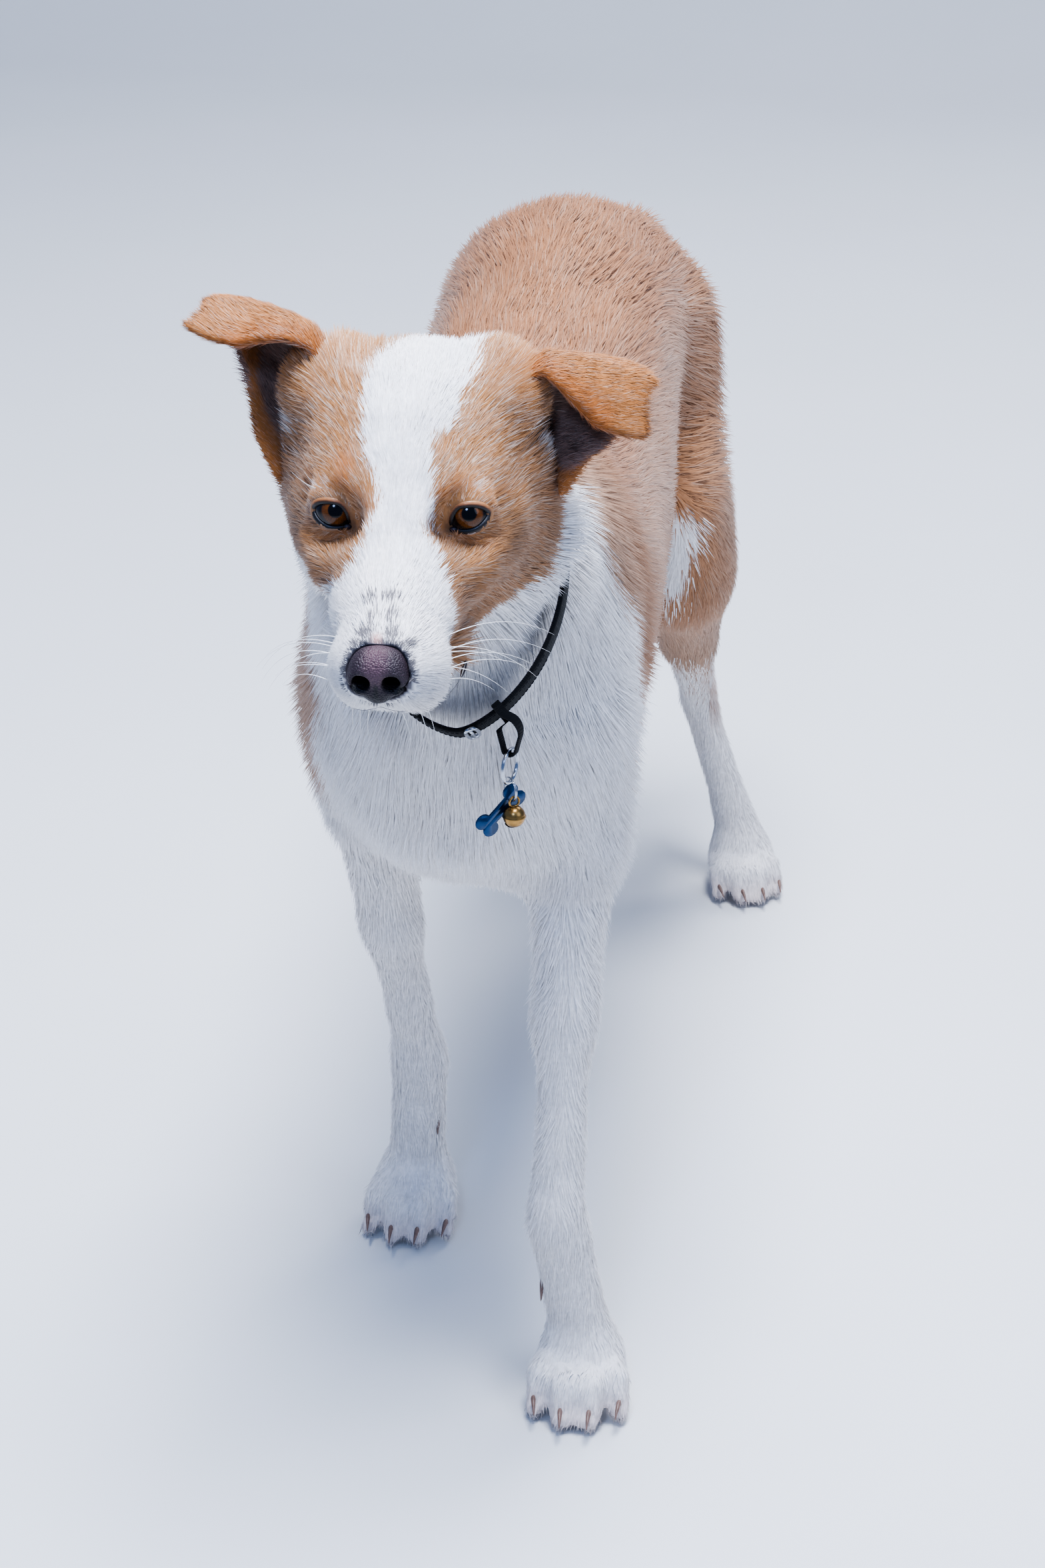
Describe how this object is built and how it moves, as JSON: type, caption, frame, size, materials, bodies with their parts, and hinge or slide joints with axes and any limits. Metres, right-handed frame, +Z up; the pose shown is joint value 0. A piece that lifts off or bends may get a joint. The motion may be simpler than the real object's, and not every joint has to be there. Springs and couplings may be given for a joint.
{
  "type": "standing dog model",
  "caption": "Life-size still model of a medium smooth-coated dog standing mid-stride, half-folded ears, wearing a collar with a tag and a bell.",
  "frame": {"origin": "on the floor, under the middle of the bounding box", "axes": "+Z up, -Y the way the dog faces, +X its left side"},
  "size_m": [0.2414, 0.9148, 0.6238],
  "materials": {
    "tan_coat": "short dense coat",
    "white_coat": "short dense coat, longer on the neck",
    "ear_coat": "short velvety coat",
    "eye": "wet and glossy",
    "nose": "moist, pebbled",
    "claw": "horn, satin",
    "webbing": "woven nylon",
    "steel": "nickel-plated, polished",
    "tag": "anodised blue, satin",
    "bell": "worn brass"
  },
  "bodies": {
    "root": {"trunk": "tan_coat", "tail": "tan_coat", "neck": "white_coat", "eye_left": "eye", "ear_left": "ear_coat", "eye_right": "eye", "ear_right": "ear_coat", "nose": "nose", "head": "tan_coat", "collar": "webbing", "collar_loop": "webbing", "tag_ring": "steel", "split_ring": "steel", "tag": "tag", "bell": "bell", "foreleg_left": "white_coat", "claw_forefoot_left_1": "claw", "claw_forefoot_left_2": "claw", "claw_forefoot_left_3": "claw", "claw_forefoot_left_4": "claw", "claw_forefoot_left_5": "claw", "forefoot_left": "white_coat", "thigh_left": "tan_coat", "shank_left": "white_coat", "claw_hindfoot_left_1": "claw", "claw_hindfoot_left_2": "claw", "claw_hindfoot_left_3": "claw", "claw_hindfoot_left_4": "claw", "hindfoot_left": "white_coat", "foreleg_right": "white_coat", "claw_forefoot_right_1": "claw", "claw_forefoot_right_2": "claw", "claw_forefoot_right_3": "claw", "claw_forefoot_right_4": "claw", "claw_forefoot_right_5": "claw", "forefoot_right": "white_coat", "thigh_right": "tan_coat", "shank_right": "white_coat", "claw_hindfoot_right_1": "claw", "claw_hindfoot_right_2": "claw", "claw_hindfoot_right_3": "claw", "claw_hindfoot_right_4": "claw", "hindfoot_right": "white_coat"}
  },
  "joints": []
}
